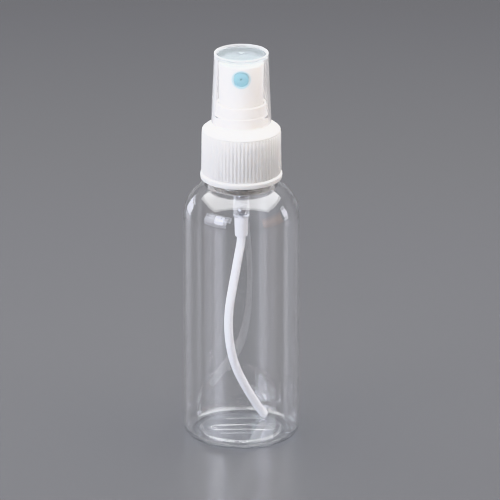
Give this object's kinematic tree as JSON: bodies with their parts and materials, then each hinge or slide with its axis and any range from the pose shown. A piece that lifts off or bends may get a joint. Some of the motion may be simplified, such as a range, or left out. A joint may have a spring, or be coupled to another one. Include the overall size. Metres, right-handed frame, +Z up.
{
  "type": "fine-mist spray bottle",
  "caption": "Small refillable spray bottle: clear round-shouldered body, ribbed white screw closure, finger pump with light-blue nozzle, curved dip tube and clear overcap.",
  "frame": {"origin": "centre of the standing ring, on the surface that the bottle stands on", "axes": "+Z up along the bottle's axis; the nozzle points along -Y; +X is to the nozzle's right as seen from the front"},
  "size_m": [0.041, 0.041, 0.1419],
  "materials": {
    "clear_pet": "glossy clear",
    "clear_cap": "glossy clear",
    "white_closure": "satin white polypropylene",
    "white_pump": "satin white polypropylene",
    "natural_housing": "translucent natural polypropylene",
    "milky_tube": "milky polyethylene",
    "blue_nozzle": "glossy light blue",
    "soft_seal": "soft white elastomer",
    "steel": "bright drawn stainless wire and ball"
  },
  "bodies": {
    "bottle": {"bottle": "clear_pet"},
    "pump_unit": {"pump_housing": "natural_housing", "neck_gasket": "soft_seal", "stem_seal": "soft_seal", "collar": "white_pump", "ball_retainer": "natural_housing", "return_spring": "steel", "dip_tube": "milky_tube"},
    "closure": {"closure": "white_closure"},
    "overcap": {"overcap": "clear_cap"},
    "stem": {"upper_stem": "white_pump", "lower_stem": "white_pump", "precompression_spring": "steel"},
    "piston": {"piston": "milky_tube"},
    "actuator": {"actuator": "white_pump", "nozzle_insert": "blue_nozzle"},
    "inlet_ball": {"inlet_ball": "steel"}
  },
  "joints": [
    {"name": "pump_lift", "type": "slide", "parent": "bottle", "child": "pump_unit", "axis": [0, 0, 1], "range_m": [0, 0.0048]},
    {"name": "closure_turn", "type": "hinge", "parent": "pump_unit", "child": "closure", "pos_m": [0, 0, 0.104], "axis": [0, 0, 1], "range_deg": [0, 540]},
    {"name": "overcap_lift", "type": "slide", "parent": "pump_unit", "child": "overcap", "axis": [0, 0, 1], "range_m": [0, 0.03]},
    {"name": "actuator_press", "type": "slide", "parent": "pump_unit", "child": "stem", "axis": [0, 0, -1], "range_m": [0, 0.006], "stiffness_N_per_m": 600, "springref_m": -0.008, "deforming": ["return_spring"]},
    {"name": "actuator_turn", "type": "hinge", "parent": "stem", "child": "actuator", "pos_m": [0, 0, 0.13], "axis": [0, 0, 1], "continuous": true},
    {"name": "piston_slip", "type": "slide", "parent": "stem", "child": "piston", "axis": [0, 0, 1], "range_m": [0, 0.0008], "stiffness_N_per_m": 1500, "springref_m": -0.001, "deforming": ["precompression_spring"]},
    {"name": "inlet_ball_lift", "type": "slide", "parent": "pump_unit", "child": "inlet_ball", "axis": [0, 0, 1], "range_m": [0, 0.0008]}
  ],
  "couplings": [
    {"joint": "pump_lift", "follows": "closure_turn", "m_per_rad": 0.00050532}
  ]
}
